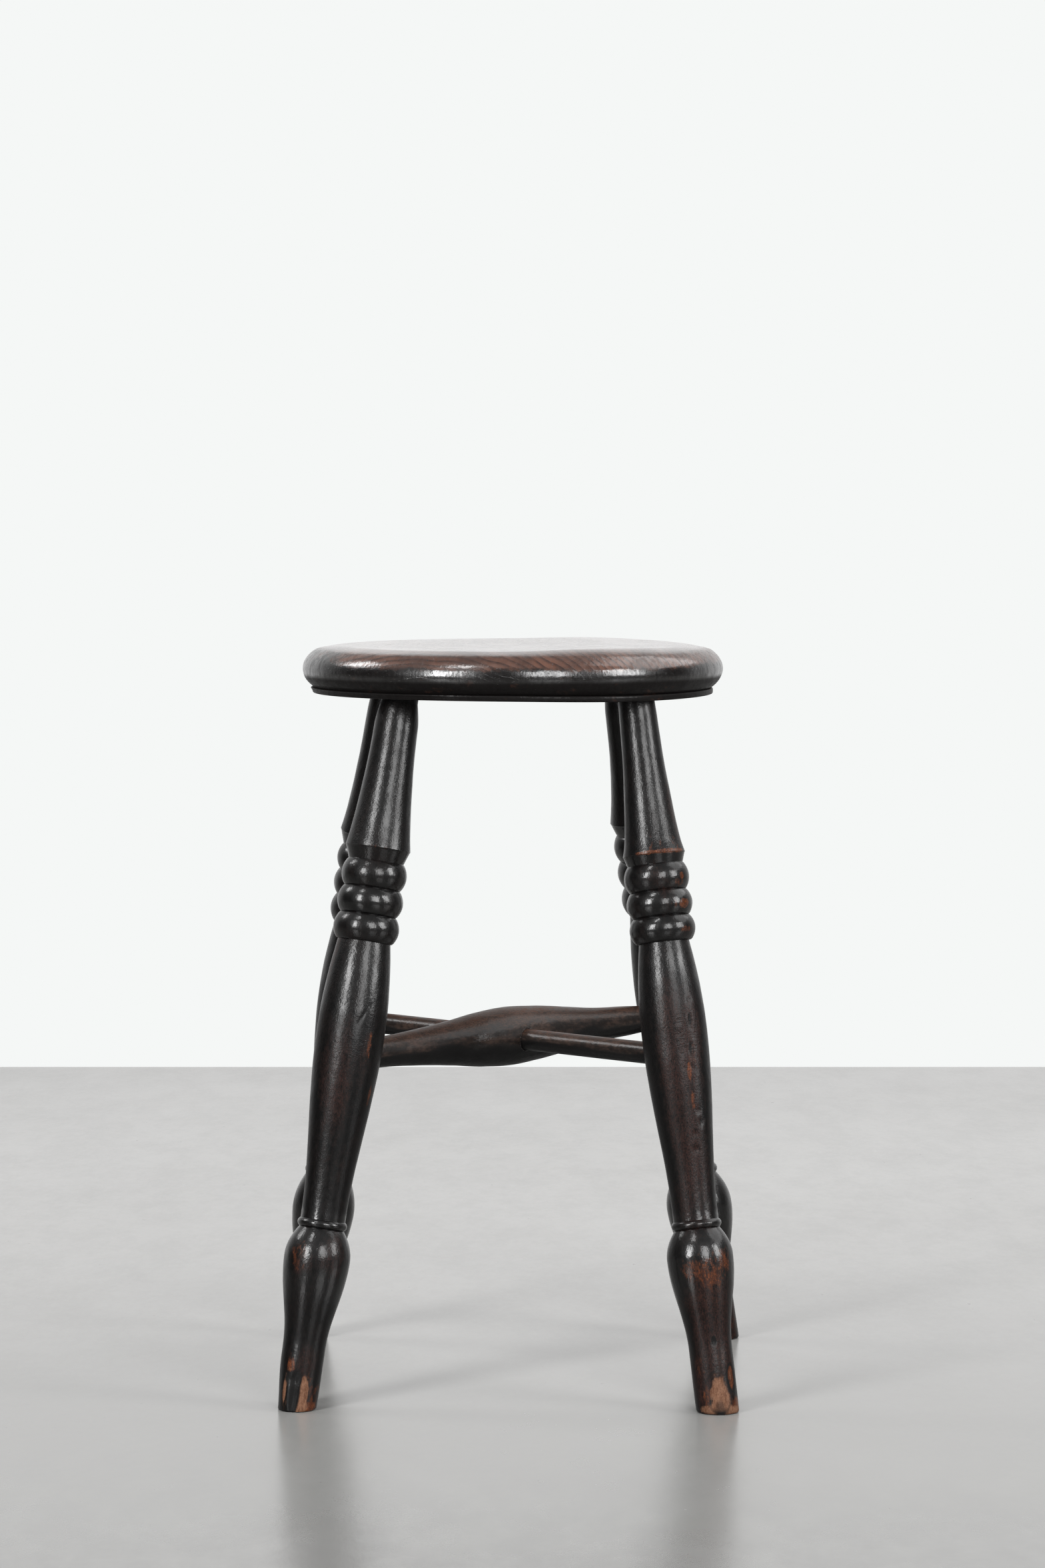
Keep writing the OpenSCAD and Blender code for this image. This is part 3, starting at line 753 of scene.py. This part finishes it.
def seat_shape(height, radius, angle):
    x, y = radius * np.cos(angle), radius * np.sin(angle)
    place = np.stack([x, y, height], -1)
    on_top = smooth_step(SEAT_TOP - 6, SEAT_TOP - 0.5, height)
    under = 1 - smooth_step(UNDERSIDE, UNDERSIDE + 3, height)
    dish = 1.2 * (1 - smooth_step(30, 130, radius)) * on_top
    hump = 1.6 * np.exp(-(((x - 65) / 45) ** 2)) - 1.8
    height = height + on_top * hump - dish
    sag = 0.8 - 1.6 * np.exp(-(((x - 95) / 75) ** 2))
    height = height + (1 - smooth_step(UNDERSIDE, RIM_WIDEST_Z, height)) * sag
    waves = 0.30 * noise(place, (34, 34, 40), 5) + 0.13 * noise(place, (13, 13, 9), 6)
    waves += 0.05 * noise(place, (5, 5, 5), 7)
    rim = (1 - under) * (1 - on_top)
    filled = np.exp(-(((height - LIP_TOP) / 1.3) ** 2)) * smooth_step(-40, 130, -x)
    radius = radius + waves * rim + 1.35 * filled * smooth_step(144, 149, radius)
    height = height + on_top * (0.25 * noise(place, (40, 40, 40), 8) - 0.2)
    # the seat is made darker towards its ends, the left end most
    ends = 0.75 * smooth_step(105, 150, -x) + 0.25 * smooth_step(120, 156, x)
    # painted shade: the rim below its widest point is painted near black through the dark mark
    dark = 0.95 * (1 - smooth_step(RIM_WIDEST_Z, RIM_WIDEST_Z + 10, height))
    marks = {"dark": np.clip(dark + ends * (1 - on_top * 0.6), 0, 1),
             "top": on_top,
             "dull": 1 - smooth_step(RIM_WIDEST_Z - 7, RIM_WIDEST_Z - 2, height)}
    return height, radius, marks


def make_seat(material, leg_axes):
    piece = lathe("seat_board", seat_outline(), 440, Vector((0, 0, 0)),
                  [Vector((1, 0, 0)), Vector((0, 1, 0)), Vector((0, 0, 1))], seat_shape)
    cutters = []
    for foot, axis in leg_axes:
        start = foot + axis * 500 * MM
        end = foot + axis * (LEG_L + 1) * MM
        cutters.append(plain_rod("cutter", start, end, TENON_R + 0.2))
    cut(piece, *cutters)
    finish_piece(piece, material, "seat")


# ---------------------------------------------------------------- camera, light, floor

# The camera's place in metres, tilt in degrees and lens, fitted to the photo
CAMERA_PLACE = (0.0074, -3.986, 0.706)
CAMERA_TILT = 3.653
CAMERA_LENS = 120.44


def make_camera():
    data = bpy.data.cameras.new("camera")
    data.lens = CAMERA_LENS
    data.sensor_width = 36
    camera = bpy.data.objects.new("camera", data)
    camera.location = CAMERA_PLACE
    camera.rotation_euler = (math.radians(90 - CAMERA_TILT), 0, 0)
    scene.collection.objects.link(camera)
    scene.camera = camera


def make_floor():
    mesh = bpy.data.meshes.new("floor")
    back, far, under = 1.99, 7.0, -0.0003
    mesh.from_pydata(
        [(-far, -far, under), (far, -far, under), (far, back, under), (-far, back, under)],
        [], [(0, 1, 2, 3)]
    )
    floor = bpy.data.objects.new("floor", mesh)
    scene.collection.objects.link(floor)
    mesh.materials.append(floor_material())


def softbox(name, azimuth, width, low, high, brightness, distance=2.8):
    """A tall soft light in front of the stool. azimuth is to the camera's right of it and width
    its breadth, in degrees; low and high are its lower and upper edges in metres."""
    a = math.radians(azimuth)
    place = Vector((math.sin(a) * distance, -math.cos(a) * distance, (low + high) / 2))
    out = Vector((math.sin(a), -math.cos(a), (low + high) / 2 / distance * 0.5)).normalized()
    data = bpy.data.lights.new(name, "AREA")
    data.shape = "RECTANGLE"
    data.size = 2 * distance * math.tan(math.radians(width / 2))
    data.size_y = high - low
    data.energy = brightness * math.pi * data.size * data.size_y
    light = bpy.data.objects.new(name, data)
    light.location = place
    light.rotation_mode = "QUATERNION"
    light.rotation_quaternion = (-out).to_track_quat("-Z", "Y")
    light.visible_camera = False
    scene.collection.objects.link(light)


def make_light():
    softbox("key_left", -38, 14, 0.48, 2.05, 34)
    softbox("key_middle", 19.5, 22, 0.50, 2.05, 15)
    softbox("key_right", 63, 20, 0.50, 2.0, 17)
    softbox("high_left", -38, 11, 3.9, 5.2, 28)
    softbox("high_far_left", -106, 18, 2.0, 3.0, 15)
    softbox("high_right", 106, 66, 1.9, 4.8, 2.8)
    world = bpy.data.worlds.new("studio")
    scene.world = world
    world.use_nodes = True
    tree = world.node_tree
    tree.nodes.clear()

    def link(a, b):
        tree.links.new(a, b)

    direction = tree.nodes.new("ShaderNodeTexCoord").outputs["Generated"]
    split = tree.nodes.new("ShaderNodeSeparateXYZ")
    link(direction, split.inputs[0])
    backward = tree.nodes.new("ShaderNodeMapRange")
    backward.interpolation_type = "SMOOTHSTEP"
    for index, value in enumerate((0, 0.15, 0.85, 0.015, 0.95)):
        if index:
            backward.inputs[index].default_value = value
    link(split.outputs["Y"], backward.inputs[0])
    upward = tree.nodes.new("ShaderNodeMapRange")
    upward.interpolation_type = "SMOOTHSTEP"
    for index, value in enumerate((0, 0.25, 0.90, 0.0, 0.48)):
        if index:
            upward.inputs[index].default_value = value
    link(split.outputs["Z"], upward.inputs[0])
    both = tree.nodes.new("ShaderNodeMath")
    both.operation = "MAXIMUM"
    link(backward.outputs[0], both.inputs[0])
    link(upward.outputs[0], both.inputs[1])
    around = tree.nodes.new("ShaderNodeBackground")
    around.inputs["Color"].default_value = (1, 1, 1, 1)
    link(both.outputs[0], around.inputs["Strength"])
    wall = tree.nodes.new("ShaderNodeBackground")
    wall.inputs["Color"].default_value = (0.913, 0.930, 0.921, 1)
    chosen = tree.nodes.new("ShaderNodeMixShader")
    link(tree.nodes.new("ShaderNodeLightPath").outputs["Is Camera Ray"], chosen.inputs[0])
    link(around.outputs[0], chosen.inputs[1])
    link(wall.outputs[0], chosen.inputs[2])
    output = tree.nodes.new("ShaderNodeOutputWorld")
    link(chosen.outputs[0], output.inputs[0])
    scene.view_settings.view_transform = "Standard"


# ---------------------------------------------------------------- the whole stool

def make_stool():
    leg_material = turned_wood("leg_wood_black", BLACK, DARK_BROWN, BLACK, RED_BROWN)
    stretcher_material = turned_wood(
        "stretcher_wood_brown", (0.0062, 0.0046, 0.0040), (0.0270, 0.0165, 0.0125),
        (0.0140, 0.0095, 0.0078), (0.0540, 0.0290, 0.0205),
    )
    main_start, main_end = end_centres("main_stretcher")
    rod_start, rod_end = end_centres("cross_stretcher")
    main_way = (main_end - main_start).normalized() * 0.03
    rod_way = (rod_end - rod_start).normalized() * 0.03
    # each socket's plain cutter runs from inside the leg out past its surface
    sockets = {
        "front_left": (main_start - main_way * 0.02, main_start + main_way, MAIN_FRONT_SOCKET_R),
        "back_right": (main_end + main_way * 0.02, main_end - main_way, MAIN_BACK_SOCKET_R),
        "front_right": (rod_start - rod_way * 0.02, rod_start + rod_way, ROD_SOCKET_R),
        "back_left": (rod_end + rod_way * 0.02, rod_end - rod_way, ROD_SOCKET_R),
    }
    leg_axes = []
    for number, leg in enumerate(LEGS):
        inner, outer, radius = sockets[leg.side]
        cutter = plain_rod("cutter", inner, outer, radius)
        leg_axes.append(make_leg(leg, 10 + 7 * number, leg_material, cutter))
    make_main_stretcher(stretcher_material, rod_start, rod_end)
    make_cross_stretcher(stretcher_material, rod_start, rod_end)
    make_seat(seat_wood(), leg_axes)


make_camera()
make_floor()
make_light()
make_stool()
